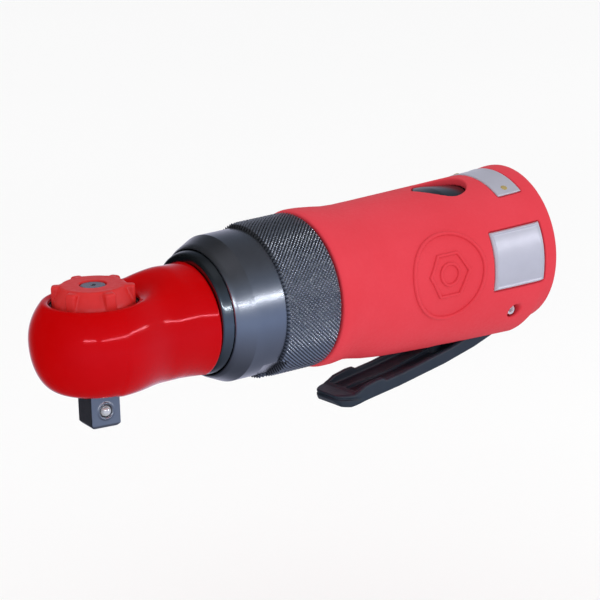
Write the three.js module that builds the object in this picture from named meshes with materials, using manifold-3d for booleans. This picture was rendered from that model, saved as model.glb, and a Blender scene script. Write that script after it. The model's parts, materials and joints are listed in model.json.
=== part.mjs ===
// A pneumatic ratchet wrench with a knurled clamp collar and a moulded handle, as an assembly of separate
// pieces. Millimetres, +Z up. +X runs from the ratchet head to the air inlet, and the origin is the middle of
// the drive square's end face. Everything is laid out about the handle's axis, which the last group lifts.
import * as THREE from "three";
import { mergeVertices } from "three/addons/utils/BufferGeometryUtils.js";
import Module from "manifold-3d";

const wasm = await Module();
wasm.setup();

// ---------------------------------------------------------------- driving dimensions

const GAP = 0.3; // clearance between neighbouring pieces
const DRIVE_SQUARE = 9.53; // 3/8 inch drive
const DRIVE_REACH = 27.35; // handle axis down to the end of the drive square
const DRIVE_TWIST = -8.1; // degrees, how the drive happens to stand at rest

// The head bulges to its radius at centreZ, closes to a flat pad on top, and rounds in to a flat bottom.
const HEAD = { radius: 20, centreZ: -0.3, topZ: 11.3, domeHeight: 18.4, bottomZ: -15.5, bottomRadius: 11.7 };
const COVER_WALL = 1.5;
const HEAD_BORE = 12.9; // bore that takes the yoke, open under the knob
const KNOB_RECESS = 13.2;
const JOURNAL = 8; // lower journal of the anvil
const NECK = { radius: 17.2, centreZ: -0.9, endX: 33.4 };
const RING = { radius: 19.1, startX: 33.7, endX: 40.1 };

const COLLAR = { startX: 37, knurlX: 53.8, endX: 73.7, bore: 20.9, lip: 19.4 };
const FLANGE = { radius: 20.2, endX: 43.7 }; // housing flange that the collar pulls against
const COLLAR_SMOOTH = 22.6;
const COLLAR_KNURL = 24.0;
const HOUSING = { startX: 44, endX: 153, radius: 20.6, bore: 18.9, boreEndX: 97 };

const GRIP_BORE = 20.9;
const GRIP_REAR = 157.7;
// Stations along the handle: x, then how far the grip reaches above, beside and below the axis.
const GRIP_SECTIONS = [
  [74, 24.0, 24.0, 24.0],
  [75, 24.6, 24.6, 24.7],
  [79, 24.4, 24.5, 24.8],
  [84, 23.8, 24.0, 24.2],
  [88, 23.2, 23.7, 24.7],
  [93, 22.9, 23.7, 25.7],
  [100, 22.9, 24.1, 26.5],
  [110, 23.0, 24.5, 27.1],
  [125, 23.2, 24.8, 27.9],
  [140, 23.4, 25.0, 28.5],
  [149.5, 23.6, 25.0, 28.8],
  [151.5, 23.7, 25.0, 28.2],
  [153.5, 23.8, 25.0, 26.2],
  [155.3, 23.7, 24.7, 24.7],
  [156.9, 23.2, 24.2, 23.9],
  [GRIP_REAR, 22.2, 23.2, 23.0],
];

const MODULE = 0.7; // gear tooth size: pitch diameter over tooth count
const TEETH = { sun: 9, planet: 15, ring: 39 };
const PLANETS = 3;
const PLANET_ORBIT = ((TEETH.sun + TEETH.planet) / 2) * MODULE;
const PLANET_BORE = 1.9;
const PLANET_PIN = 1.6;
const GEARS_X = [44.9, 52.8];

const CRANK_THROW = 1.4; // offset of the eccentric pin
const YOKE_TEETH = 36;
const YOKE = { outer: 12.5, root: 10.5, tip: 9.7, lowZ: -3.5, highZ: 4 };
const PAWL_PIVOT = 5; // distance from the drive axis
const PAWL_ROCK = 8; // degrees between the two working positions
const KNOB_TURN = 45; // degrees between the two positions of the knob
const KNOB = { radius: 12.4, foot: 12.1, disc: 9.7, lowZ: 7.1, footZ: 11, highZ: 16.05 };
const EARS = { count: 6, half: 1.6, turn: -7.15, highZ: 15.8 }; // finger grips round the knob

const ROTOR = { radius: 13.5, startX: 61.6, endX: 90.4 };
const CYLINDER = { bore: 15.4, offset: 1.6, radius: 18.6, startX: 61.3, endX: 90.7 };
const VANES = 5;
const VANE = { thick: 1.6, slot: 2.2, depth: 6.6 };

const LEVER = { tipX: 83.4, half: 8.7, wall: 1.6, pivotX: 143, pivotZ: -16.5 };
const LEVER_PIN = 1.6;
const PORT = { frontX: 118.6, roundX: 132, middleY: -1.4, half: 8 };
const VALVE_X = 126;
const VALVE_CHAMBER = 4.9;
const INLET_RADIUS = 9;
const INLET_BORE = 5.75;

// ---------------------------------------------------------------- materials

const COLOURS = {
  red_gloss: ["#c00812", 0.15, 0],
  red_rubber: ["#e6475a", 0.75, 0],
  red_knob: ["#df3a3c", 0.4, 0],
  dark_steel: ["#56616e", 0.35, 0.9],
  black_oxide: ["#2b333c", 0.4, 0.8],
  bright_steel: ["#b9bec6", 0.25, 1],
  hardened_steel: ["#80868e", 0.35, 1],
  cast_aluminium: ["#9a9fa6", 0.5, 0.9],
  slate_plastic: ["#323841", 0.55, 0],
  black_plastic: ["#17181a", 0.6, 0],
  plate_metal: ["#c9cde0", 0.35, 0.8],
  brass: ["#c8a24a", 0.35, 1],
  vane_resin: ["#7a5a35", 0.7, 0],
  black_rubber: ["#101010", 0.85, 0],
  felt: ["#8d8f88", 0.95, 0],
};

function material(slot) {
  const [color, roughness, metalness] = COLOURS[slot];
  return new THREE.MeshStandardMaterial({ color, roughness, metalness });
}

// ---------------------------------------------------------------- solids and geometry

// A closed three.js geometry as a solid that can be joined and cut, with its faces turned out.
function solid(geometry) {
  const bare = new THREE.BufferGeometry();
  bare.setAttribute("position", geometry.getAttribute("position"));
  bare.setIndex(geometry.getIndex());
  const welded = mergeVertices(bare, 1e-4);
  const corners = welded.getIndex().array;
  const kept = [];
  for (let i = 0; i < corners.length; i += 3) {
    const [a, b, c] = corners.slice(i, i + 3);
    if (a !== b && b !== c && c !== a) kept.push(a, b, c);
  }
  const vertProperties = new Float32Array(welded.getAttribute("position").array);
  const build = (order) =>
    new wasm.Manifold(
      new wasm.Mesh({ numProp: 3, vertProperties, triVerts: new Uint32Array(order) }),
    );
  const made = build(kept);
  return made.volume() >= 0 ? made : build(kept.reverse());
}

const join = (first, ...rest) => rest.reduce((sum, next) => sum.add(next), first);
const cut = (first, ...rest) => rest.reduce((left, next) => left.subtract(next), first);

function geometryOf(made) {
  const mesh = made.getMesh();
  const geometry = new THREE.BufferGeometry();
  const places = new Float32Array(mesh.numVert * 3);
  for (let i = 0; i < mesh.numVert; i += 1) {
    places.set(mesh.vertProperties.subarray(i * mesh.numProp, i * mesh.numProp + 3), i * 3);
  }
  geometry.setAttribute("position", new THREE.BufferAttribute(places, 3));
  geometry.setIndex(new THREE.BufferAttribute(mesh.triVerts, 1));
  geometry.computeVertexNormals();
  return geometry;
}

function piece(name, slot, made) {
  const mesh = new THREE.Mesh(geometryOf(made), material(slot));
  mesh.name = name;
  return mesh;
}

const radians = THREE.MathUtils.degToRad;
const AXES = {
  x: new THREE.Matrix4().makeRotationZ(-Math.PI / 2),
  y: new THREE.Matrix4(),
  z: new THREE.Matrix4().makeRotationX(Math.PI / 2),
};
// Drawn outlines are laid into a plane of the tool: across X, across Y, or across Z.
const PLANES = {
  x: new THREE.Matrix4().set(0, 0, 1, 0, 1, 0, 0, 0, 0, 1, 0, 0, 0, 0, 0, 1),
  y: new THREE.Matrix4().set(1, 0, 0, 0, 0, 0, -1, 0, 0, 1, 0, 0, 0, 0, 0, 1),
  z: new THREE.Matrix4(),
};

// profile holds [place along the axis, radius] pairs.
function turned(axis, profile, segments = 20, move = [0, 0, 0]) {
  const points = profile.map(([along, radius]) => new THREE.Vector2(radius, along));
  const geometry = new THREE.LatheGeometry(points, segments);
  geometry.applyMatrix4(AXES[axis]);
  geometry.translate(...move);
  return solid(geometry);
}

function rod(axis, low, high, radius, segments = 16, move = [0, 0, 0]) {
  const ends = [[low, 0], [low, radius], [high, radius], [high, 0]];
  return turned(axis, ends, segments, move);
}

function ring(axis, low, high, inner, outer, segments = 24, move = [0, 0, 0]) {
  const wall = [[low, inner], [low, outer], [high, outer], [high, inner], [low, inner]];
  return turned(axis, wall, segments, move);
}

function block(lowX, highX, lowY, highY, lowZ, highZ) {
  const geometry = new THREE.BoxGeometry(highX - lowX, highY - lowY, highZ - lowZ);
  geometry.translate((lowX + highX) / 2, (lowY + highY) / 2, (lowZ + highZ) / 2);
  return solid(geometry);
}

// A drawn outline made thick from low to high along the axis it is drawn across.
function slab(axis, outline, low, high) {
  const shape = outline instanceof THREE.Shape ? outline : new THREE.Shape(outline.map(toPoint));
  const geometry = new THREE.ExtrudeGeometry(shape, {
    depth: high - low,
    bevelEnabled: false,
    curveSegments: 4,
  });
  geometry.translate(0, 0, axis === "y" ? -high : low);
  geometry.applyMatrix4(PLANES[axis]);
  return solid(geometry);
}

const toPoint = ([x, y]) => new THREE.Vector2(x, y);
const polar = (radius, angle) => [radius * Math.cos(angle), radius * Math.sin(angle)];

// ---------------------------------------------------------------- gears

// Outline of a spur gear. Each tooth is `thick` of its pitch wide at the pitch circle, and tapers to its tip.
function gearOutline(teeth, rootRadius, tipRadius, phase, rootShare, tipShare) {
  const points = [];
  const pitch = (2 * Math.PI) / teeth;
  for (let i = 0; i < teeth; i += 1) {
    const middle = phase + i * pitch;
    points.push(polar(rootRadius, middle - (rootShare * pitch) / 2));
    points.push(polar(tipRadius, middle - (tipShare * pitch) / 2));
    points.push(polar(tipRadius, middle + (tipShare * pitch) / 2));
    points.push(polar(rootRadius, middle + (rootShare * pitch) / 2));
  }
  return points;
}

const pitchRadius = (teeth) => (teeth * MODULE) / 2;

function externalGear(teeth, phase, bore) {
  const pitch = pitchRadius(teeth);
  const outline = gearOutline(teeth, pitch - 0.85, pitch + 0.55, phase, 0.58, 0.18);
  const shape = new THREE.Shape(outline.map(toPoint));
  if (bore) shape.holes.push(circleHole(bore, 16));
  return shape;
}

function circleHole(radius, sides) {
  const corners = [];
  for (let i = 0; i < sides; i += 1) corners.push(toPoint(polar(radius, (2 * Math.PI * i) / sides)));
  return new THREE.Path(corners);
}

// Planet i stands at this angle about the handle axis, in the YZ plane.
const planetAngle = (i) => (2 * Math.PI * i) / PLANETS;

// The turn that puts a planet's teeth between the sun's, when the sun has a tooth at angle 0.
function planetPhase(i) {
  const angle = planetAngle(i);
  return angle + Math.PI + (TEETH.sun * angle - Math.PI) / TEETH.planet;
}

function planetGear(i) {
  const gear = slab("x", externalGear(TEETH.planet, planetPhase(i), PLANET_BORE), ...GEARS_X);
  const [y, z] = polar(PLANET_ORBIT, planetAngle(i));
  return gear.translate(0, y, z);
}

function ringGear() {
  const pitch = pitchRadius(TEETH.ring);
  const phase = (Math.PI * TEETH.planet) / TEETH.ring;
  const inner = gearOutline(TEETH.ring, pitch + 0.85, pitch - 0.55, phase, 0.58, 0.18);
  const shape = new THREE.Shape();
  shape.absarc(0, 0, CYLINDER.radius, 0, 2 * Math.PI);
  shape.holes.push(new THREE.Path(inner.map(toPoint)));
  return slab("x", shape, 44.3, 53.2);
}

// ---------------------------------------------------------------- springs

class Helix extends THREE.Curve {
  constructor(radius, length, turns) {
    super();
    Object.assign(this, { radius, length, turns });
  }
  getPoint(t) {
    const [x, y] = polar(this.radius, 2 * Math.PI * this.turns * t);
    return new THREE.Vector3(x, y, this.length * t);
  }
}

// A coil spring standing on z = 0.
function coilSpring(radius, wire, length, turns) {
  const section = new THREE.Shape();
  section.absarc(0, 0, wire, 0, 2 * Math.PI);
  return new THREE.ExtrudeGeometry(section, {
    extrudePath: new Helix(radius, length, turns),
    steps: turns * 8,
    curveSegments: 2,
    bevelEnabled: false,
  });
}

// ---------------------------------------------------------------- ratchet head

const NECK_CENTRE = [0, 0, NECK.centreZ];

// Ball-shaped head between its flat bottom and the flat pad on top, drawn smaller by `inset`.
function headBall(inset) {
  const radius = HEAD.radius - inset;
  const corner = radius - HEAD.bottomRadius;
  const depth = HEAD.centreZ - HEAD.bottomZ - inset;
  const rise = HEAD.topZ - HEAD.centreZ - inset;
  const dome = HEAD.domeHeight - inset;
  const profile = [[HEAD.bottomZ + inset, 0]];
  for (let i = 0; i < 6; i += 1) {
    const angle = (Math.PI / 2) * (1 - i / 6);
    profile.push([HEAD.centreZ - depth * Math.sin(angle), HEAD.bottomRadius + corner * Math.cos(angle)]);
  }
  for (let i = 0; i <= 4; i += 1) {
    const up = (rise * i) / 4;
    profile.push([HEAD.centreZ + up, radius * Math.sqrt(1 - (up / dome) ** 2)]);
  }
  profile.push([HEAD.centreZ + rise, 0]);
  return turned("z", profile, 28);
}

function neckBarrel(inset, endX) {
  const radius = NECK.radius - inset;
  const profile = [[2, 0], [2, radius], [28, radius], [endX, radius + 0.8], [endX, 0]];
  return turned("x", profile, 28, NECK_CENTRE);
}

// What is cut away above the pad, so that the neck sweeps down to the knob.
function padSweep(inset) {
  const low = HEAD.topZ - inset;
  const sweep = [[low, 14.4], [low + 0.9, 17], [low + 2.5, 19], [low + 5, 21.5], [low + 9, 24]];
  return turned("z", [[low, 0], ...sweep, [low + 9, 0]], 28);
}

function headCover() {
  const outside = cut(join(headBall(0), neckBarrel(0, NECK.endX)), padSweep(0));
  const room = join(headBall(COVER_WALL), neckBarrel(COVER_WALL, NECK.endX + 1));
  return cut(
    outside,
    cut(room, padSweep(COVER_WALL)),
    rod("z", 8, 14, KNOB_RECESS, 28),
    rod("z", -20, -13, JOURNAL + 0.9, 24),
  );
}

function ratchetHousing() {
  const inset = COVER_WALL + GAP;
  const body = cut(join(headBall(inset), neckBarrel(inset, RING.startX + 1)), padSweep(inset));
  const flange = turned("x", [
    [RING.startX, 0], [RING.startX, 17.7], [34.4, 18.4], [36.9, RING.radius],
    [RING.endX + GAP, RING.radius], [RING.endX + GAP, FLANGE.radius],
    [FLANGE.endX, FLANGE.radius], [FLANGE.endX, 0],
  ], 32);
  return cut(
    join(body, flange),
    rod("z", -3.9, 14, HEAD_BORE, 28),
    rod("z", -8.3, -3, 9.6, 24),
    rod("z", -20, -8, JOURNAL + GAP, 24),
    block(0, 21.7, -10.9, 10.9, -6.6, 6.6),
    rod("x", 20, 39, 8.6, 24),
    rod("x", 38, 45, 12.2, 24),
    ring("z", 5.3, 7, 12, 13.7, 28),
  );
}

function driveSquare() {
  const chamfer = 0.9;
  const half = DRIVE_SQUARE / 2 - chamfer;
  const corner = 0.45;
  const outline = [];
  for (const [sx, sy] of [[1, 1], [-1, 1], [-1, -1], [1, -1]]) {
    const alongX = [sx * (half - corner), sy * half];
    const alongY = [sx * half, sy * (half - corner)];
    outline.push(...(sx * sy > 0 ? [alongY, alongX] : [alongX, alongY]));
  }
  const geometry = new THREE.ExtrudeGeometry(new THREE.Shape(outline.map(toPoint)), {
    depth: 12,
    bevelThickness: chamfer,
    bevelSize: chamfer,
    bevelSegments: 1,
  });
  geometry.translate(0, 0, -DRIVE_REACH + chamfer);
  return solid(geometry);
}

const BALL = { radius: 1.75, z: -22, y: -4.1 };

function ratchetAnvil() {
  const shaft = turned("z", [
    [-15.3, 0], [-15.3, JOURNAL - 0.5], [-14.8, JOURNAL], [-8, JOURNAL], [-8, 9.2],
    [4, 9.2], [4, 7.2], [6.7, 7.2], [6.7, 0],
  ]);
  return cut(
    join(shaft, driveSquare()),
    rod("z", -3.4, 8, 2.9),
    rod("z", -7.3, 8, 1.5, 16, [PAWL_PIVOT, 0, 0]),
    block(2.2, 11, -8.3, 8.3, -3.4, 3.4),
    rod("y", -6, 2.6, BALL.radius + 0.2, 20, [0, 0, BALL.z]),
  );
}

function pawl() {
  const half = [[3.3, 0], [3.3, 4.2], [4.9, 6.6], [5.9, 7.05], [7.05, 5.9], [6.4, 3.6], [7.2, 0]];
  const other = half.slice(1, -1).map(([x, y]) => [x, -y]);
  const rocker = slab("z", [...half, ...other.reverse()].reverse(), -3.1, 3.1);
  const bored = cut(rocker, rod("z", -4, 4, 1.5, 16, [PAWL_PIVOT, 0, 0]));
  return bored.translate(-PAWL_PIVOT, 0, 0).rotate(0, 0, PAWL_ROCK / 2).translate(PAWL_PIVOT, 0, 0);
}

function ratchetYoke() {
  const teeth = [];
  const pitch = (2 * Math.PI) / YOKE_TEETH;
  for (let i = 0; i < YOKE_TEETH; i += 1) {
    teeth.push(polar(YOKE.root, (i - 0.38) * pitch));
    teeth.push(polar(YOKE.tip, (i - 0.1) * pitch));
    teeth.push(polar(YOKE.tip, (i + 0.1) * pitch));
    teeth.push(polar(YOKE.root, (i + 0.38) * pitch));
  }
  const bore = slab("z", teeth, -10, 10);
  const band = rod("z", YOKE.lowZ, YOKE.highZ, YOKE.outer, 28);
  const arm = (side) => block(8, 17.6, side * 7.8 - 1.15, side * 7.8 + 1.15, -3.2, 3.2);
  return cut(join(band, arm(1), arm(-1)), bore);
}

function retainingRing() {
  const clip = ring("z", 5.6, 6.7, 11.2, 13.3, 24);
  const opening = block(-14, -9, -3, 3, 5, 7.5);
  return cut(clip, opening);
}

// The reversing knob and what turns with it, drawn with the plunger pointing along +X.
function reverseKnob() {
  const crown = turned("z", [
    [KNOB.lowZ, 0], [KNOB.lowZ, KNOB.foot - 0.6], [KNOB.lowZ + 0.6, KNOB.foot],
    [KNOB.footZ, KNOB.foot], [KNOB.highZ, KNOB.disc], [KNOB.highZ, 0],
  ], 36);
  const outline = [];
  for (let i = 0; i < EARS.count; i += 1) {
    const turn = radians(EARS.turn) + (2 * Math.PI * i) / EARS.count;
    for (const [out, side] of [[6, -1], [14, -1], [14, 1], [6, 1]]) {
      outline.push(polar(Math.hypot(out, EARS.half), turn + side * Math.atan(EARS.half / out)));
    }
  }
  const rim = turned("z", [
    [KNOB.lowZ, 0], [KNOB.lowZ, KNOB.radius - 0.6], [KNOB.lowZ + 0.6, KNOB.radius],
    [EARS.highZ - 0.6, KNOB.radius], [EARS.highZ, KNOB.radius - 0.6], [EARS.highZ, 0],
  ], 36);
  return cut(
    join(crown, slab("z", outline, KNOB.lowZ, EARS.highZ).intersect(rim)),
    rod("z", 14.2, 18, 4.15, 24),
    rod("z", 9.6, 18, 1.9, 16),
    rod("z", 6, 9.6, 3.6, 24),
  );
}

function reverseStem() {
  const post = turned("z", [[-3, 0], [-3, 2.6], [6.9, 2.6], [6.9, 3.3], [9.3, 3.3], [9.3, 0]], 20);
  return cut(post, rod("x", 0.2, 4, 1.15, 12), rod("z", 3, 12, 1.7, 16));
}

function knobScrew() {
  const body = turned("z", [
    [3.4, 0], [3.4, 1.4], [14.5, 1.4], [14.5, 3.83], [15.6, 3.83], [15.8, 3.5], [15.8, 0],
  ], 24);
  return cut(body, rod("z", 15, 17, 0.7, 6));
}

function pawlPlunger() {
  return turned("x", [[1.5, 0], [1.5, 0.85], [2.6, 0.85], [3, 0.4], [3, 0]], 12);
}

function plungerSpring() {
  const coil = coilSpring(0.62, 0.16, 0.75, 3);
  coil.applyMatrix4(new THREE.Matrix4().makeRotationY(Math.PI / 2));
  coil.translate(0.45, 0, 0);
  return solid(coil);
}

function detentBall() {
  const ball = new THREE.SphereGeometry(BALL.radius, 12, 6);
  ball.translate(0, BALL.y, BALL.z);
  return solid(ball);
}

function detentSpring() {
  const coil = coilSpring(1.2, 0.25, 2.6, 4);
  coil.applyMatrix4(new THREE.Matrix4().makeRotationX(-Math.PI / 2));
  coil.translate(0, -0.5, BALL.z);
  return solid(coil);
}

// ---------------------------------------------------------------- crank and gears

function crankshaft() {
  const shaft = turned("x", [
    [18.7, 0], [18.7, 6.3], [21.4, 6.3], [21.4, 5.2], [38.7, 5.2], [38.7, 11.5], [43.7, 11.5], [43.7, 0],
  ]);
  const eccentric = rod("x", 12.9, 19, 2.1, 16, [0, 0, CRANK_THROW]);
  const holes = [];
  for (let i = 0; i < PLANETS; i += 1) {
    const [y, z] = polar(PLANET_ORBIT, planetAngle(i));
    holes.push(rod("x", 40, 45, PLANET_PIN + GAP, 12, [0, y, z]));
  }
  return cut(join(shaft, eccentric), ...holes);
}

function planetPin(i) {
  const [y, z] = polar(PLANET_ORBIT, planetAngle(i));
  return rod("x", 40.3, 53, PLANET_PIN, 12, [0, y, z]);
}

function driveBushing() {
  const wall = [[13, 2.4], [13, 3.2], [13.8, 3.6], [16.6, 3.6], [17.4, 3.2], [17.4, 2.4], [13, 2.4]];
  return turned("x", wall, 16, [0, 0, CRANK_THROW]);
}

// ---------------------------------------------------------------- air motor

function frontEndPlate() {
  return cut(
    rod("x", 54.8, 61, CYLINDER.radius, 28),
    rod("x", 54, 59.9, 8.4, 20),
    rod("x", 54, 62, 4.6),
  );
}

function rearEndPlate() {
  return cut(
    rod("x", 91, 96.7, CYLINDER.radius, 28),
    rod("x", 92.4, 98, 7.1, 20),
    rod("x", 90, 98, 3.6),
    rod("x", 90, 98, 1.4, 12, [0, -14.5, 0]),
    rod("x", 90, 98, 1.4, 12, [0, 14.5, 0]),
    rod("x", 90, 98, 1.5, 12, [0, 0, -11]),
  );
}

// A ball bearing as one ring, with the groove between its races.
function bearing(lowX, highX, inner, outer) {
  const middle = (inner + outer) / 2;
  const depth = 0.5;
  return turned("x", [
    [lowX, inner], [lowX, middle - 0.6], [lowX + depth, middle - 0.6], [lowX + depth, middle + 0.6],
    [lowX, middle + 0.6], [lowX, outer], [highX, outer], [highX, inner], [lowX, inner],
  ], 16);
}

function rotor() {
  const body = turned("x", [
    [54, 0], [54, 4], [ROTOR.startX, 4], [ROTOR.startX, ROTOR.radius], [ROTOR.endX, ROTOR.radius],
    [ROTOR.endX, 3], [96, 3], [96, 0],
  ], 30);
  const pinion = slab("x", externalGear(TEETH.sun, 0), 44.6, 54.5);
  const slots = [];
  for (let i = 0; i < VANES; i += 1) {
    const slot = block(60, 92, -VANE.slot / 2, VANE.slot / 2, ROTOR.radius - VANE.depth - GAP, 15);
    slots.push(slot.rotate((360 * i) / VANES, 0, 0));
  }
  return cut(join(body, pinion), ...slots);
}

function rotorVane(i) {
  const top = ROTOR.radius - 0.1;
  const blade = block(ROTOR.startX, ROTOR.endX, -VANE.thick / 2, VANE.thick / 2, top - VANE.depth, top);
  return blade.rotate((360 * i) / VANES, 0, 0);
}

function motorCylinder() {
  const wall = rod("x", CYLINDER.startX, CYLINDER.endX, CYLINDER.radius, 28);
  const bore = rod("x", 60, 92, CYLINDER.bore, 28, [0, 0, CYLINDER.offset]);
  const ports = [-12, -4, 4, 12].map((x) => rod("z", 12, 20, 1.6, 10, [76 + x, 0, 0]));
  return cut(wall, bore, ...ports, rod("x", 88, 92, 1.3, 12, [0, 0, -16.2]));
}

function cylinderPin() {
  return rod("x", 88.3, 90.8, 1, 12, [0, 0, -16.2]);
}

function motorHousing() {
  const shell = turned("x", [
    [HOUSING.startX, 0], [HOUSING.startX, HOUSING.radius], [HOUSING.endX, HOUSING.radius], [HOUSING.endX, 0],
  ], 28);
  // The metal seen through the port is flush with the grip in front and falls away behind.
  const ramp = turned("x", [[118, 0], [118, 22.5], [127, 22], [141, 19.5], [141, 0]], 32);
  const exhaust = [-1, 1].map((side) => rod("x", 90, 151, 2.5, 12, [0, side * 12.6, 7]));
  return cut(
    join(shell, ramp.intersect(portShape(GAP))),
    rod("x", 40, HOUSING.boreEndX, HOUSING.bore, 28),
    rod("z", -25, 8.6, VALVE_CHAMBER, 20, [VALVE_X, 0, 0]),
    rod("x", VALVE_X, 144, 4.4, 16),
    rod("x", 143.4, 160, INLET_RADIUS + GAP + 0.1, 20),
    rod("x", 96, VALVE_X, 1.9, 12, [0, 0, -11]),
    ...exhaust,
    ring("x", 149.4, 160, 11, 17.4),
    block(134, 148.5, -9.1, 9.1, -25, -11.3),
    rod("y", -21, 21, LEVER_PIN + GAP, 16, [LEVER.pivotX, 0, LEVER.pivotZ]),
  );
}

function clampCollar() {
  const sleeve = turned("x", [
    [COLLAR.startX, COLLAR.lip], [COLLAR.startX, 19.6], [38.2, 20.5], [43, COLLAR_SMOOTH],
    [COLLAR.knurlX, COLLAR_SMOOTH], [COLLAR.knurlX + 0.8, COLLAR_KNURL - 0.2], [COLLAR.endX, COLLAR_KNURL],
    [COLLAR.endX, COLLAR.bore], [FLANGE.endX + 0.1, COLLAR.bore], [FLANGE.endX + 0.1, FLANGE.radius + GAP],
    [RING.endX, FLANGE.radius + GAP], [RING.endX, COLLAR.lip], [COLLAR.startX, COLLAR.lip],
  ], 32);
  // Two flats for a pin spanner, opposite each other.
  const flat = block(49, 57, -6, 6, 21.9, 26);
  return cut(sleeve, flat.rotate(148, 0, 0), flat.rotate(-32, 0, 0));
}

// ---------------------------------------------------------------- handle

// How far the grip reaches above, beside and below the axis at x.
function gripSection(x) {
  const last = GRIP_SECTIONS.length - 1;
  const next = Math.min(Math.max(GRIP_SECTIONS.findIndex(([at]) => at >= x - 1e-3), 1), last);
  const [a, b] = [GRIP_SECTIONS[next - 1], GRIP_SECTIONS[next]];
  const share = (x - a[0]) / (b[0] - a[0]);
  return [1, 2, 3].map((i) => a[i] + (b[i] - a[i]) * share);
}

// A point of the grip's skin at x. The angle runs from -Y up over the top.
function skinPoint(x, angle, lift) {
  const [top, side, bottom] = gripSection(x);
  const high = Math.sin(angle) > 0 ? top : bottom;
  return [-(side + lift) * Math.cos(angle), (high + lift) * Math.sin(angle)];
}

function gripBody() {
  const profile = [[GRIP_SECTIONS[0][0], 0]];
  for (const [x] of GRIP_SECTIONS) profile.push([x, 1]);
  profile.push([GRIP_REAR, 0]);
  const points = profile.map(([along, radius]) => new THREE.Vector2(radius, along));
  const geometry = new THREE.LatheGeometry(points, 32);
  geometry.applyMatrix4(AXES.x);
  const place = geometry.getAttribute("position");
  for (let i = 0; i < place.count; i += 1) {
    const [top, side, bottom] = gripSection(place.getX(i));
    const z = place.getZ(i);
    place.setY(i, place.getY(i) * side);
    place.setZ(i, z * (z > 0 ? top : bottom));
  }
  return solid(geometry);
}

// A strip of sheet bent round the grip, between two angles in degrees.
function skinStrip(lowX, highX, from, to, inner, outer, steps) {
  const middle = (lowX + highX) / 2;
  const outside = [];
  const inside = [];
  for (let i = 0; i <= steps; i += 1) {
    const angle = radians(from + ((to - from) * i) / steps);
    outside.push(skinPoint(middle, angle, outer));
    inside.push(skinPoint(middle, angle, inner));
  }
  return slab("x", [...outside, ...inside.reverse()], lowX, highX);
}

const SIDE_PLATE = [132, 152.2, -16, 29];
const NAME_PLATE = [141.2, 152.6, 56, 124];
const RIVET_ANGLES = [60, 120];

// The port in the top of the grip, pointed in front and round behind, drawn smaller by `inset`.
function portShape(inset) {
  const shape = new THREE.Shape();
  const half = PORT.half - inset;
  const point = PORT.frontX + inset * 2;
  shape.moveTo(point, PORT.middleY);
  shape.quadraticCurveTo(PORT.frontX + 7, PORT.middleY - half, PORT.roundX, PORT.middleY - half);
  shape.absarc(PORT.roundX, PORT.middleY, half, -Math.PI / 2, Math.PI / 2, false);
  shape.quadraticCurveTo(PORT.frontX + 7, PORT.middleY + half, point, PORT.middleY);
  return slab("z", shape, 12, 30);
}

function rivetHole(angle, radius, low, high) {
  const middle = (NAME_PLATE[0] + NAME_PLATE[1]) / 2;
  return rod("z", low, high, radius, 12).rotate(angle - 90, 0, 0).translate(middle, 0, 0);
}

function gripSleeve() {
  return cut(
    gripBody(),
    rod("x", 70, 160, GRIP_BORE, 32),
    block(119, 149.8, -9.1, 9.1, -32, -15),
    portShape(0),
    rod("y", -30, 30, 2.3, 16, [LEVER.pivotX, 0, LEVER.pivotZ]),
    skinStrip(SIDE_PLATE[0], SIDE_PLATE[1], SIDE_PLATE[2], SIDE_PLATE[3], -0.9, 3, 6),
    skinStrip(NAME_PLATE[0], NAME_PLATE[1], NAME_PLATE[2] - 1, NAME_PLATE[3] + 1, -0.5, 3, 10),
    ...RIVET_ANGLES.map((angle) => rivetHole(angle, 1.3, 21.3, 30)),
  );
}

const sidePlate = () => skinStrip(132.4, 151.8, -15, 28, -0.6, 0.1, 6);

function namePlate() {
  const strip = skinStrip(141.5, 152.3, 56, 124, -0.2, 0.5, 10);
  return cut(strip, ...RIVET_ANGLES.map((angle) => rivetHole(angle, 1.3, 21.3, 30)));
}

function rivet(angle) {
  const pin = turned("z", [
    [21.6, 0], [21.6, 1], [24.4, 1], [24.4, 1.6], [24.8, 1.5], [25.1, 0.9], [25.2, 0],
  ], 12);
  const middle = (NAME_PLATE[0] + NAME_PLATE[1]) / 2;
  return pin.rotate(angle - 90, 0, 0).translate(middle, 0, 0);
}

// Side view of the lever: its underside, then back over the eye and down the top of its walls.
const LEVER_UNDERSIDE = [
  [LEVER.tipX, -36.9], [85, -38.5], [87.6, -38.6], [93, -37.4], [106, -35.4], [124, -31.9], [136, -28.8],
  [146, -25.6],
];
const LEVER_TOP = [
  [136.5, -19], [133, -25.7], [126.6, -27.6], [107.5, -31.7], [100.9, -32.7], [99.4, -31.9], [97, -32.1],
  [92.3, -33.2], [90.4, -34.3], [88.4, -35.1], [LEVER.tipX, -35.3],
];

// The hollow between the walls, and the thin rib that stands in it.
const LEVER_CHANNEL = [
  [90, -36.2], [96, -35.4], [109, -33.4], [127, -29.9], [139, -26.8], [140.5, -22], [160, -20], [160, 0],
  [90, 0],
];
const LEVER_RIB = [
  [88, -37.4], [93, -36], [106, -34.4], [124, -30.6], [136, -27.4], [134, -26.4], [126.6, -28.6],
  [107.5, -32.9], [92, -34.6], [88, -35.3],
];

function leverEye(radius) {
  const points = [];
  for (let i = 0; i <= 8; i += 1) {
    const [x, z] = polar(radius, radians(-15 + i * 24));
    points.push([LEVER.pivotX + x, LEVER.pivotZ + z]);
  }
  return points;
}

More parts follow.
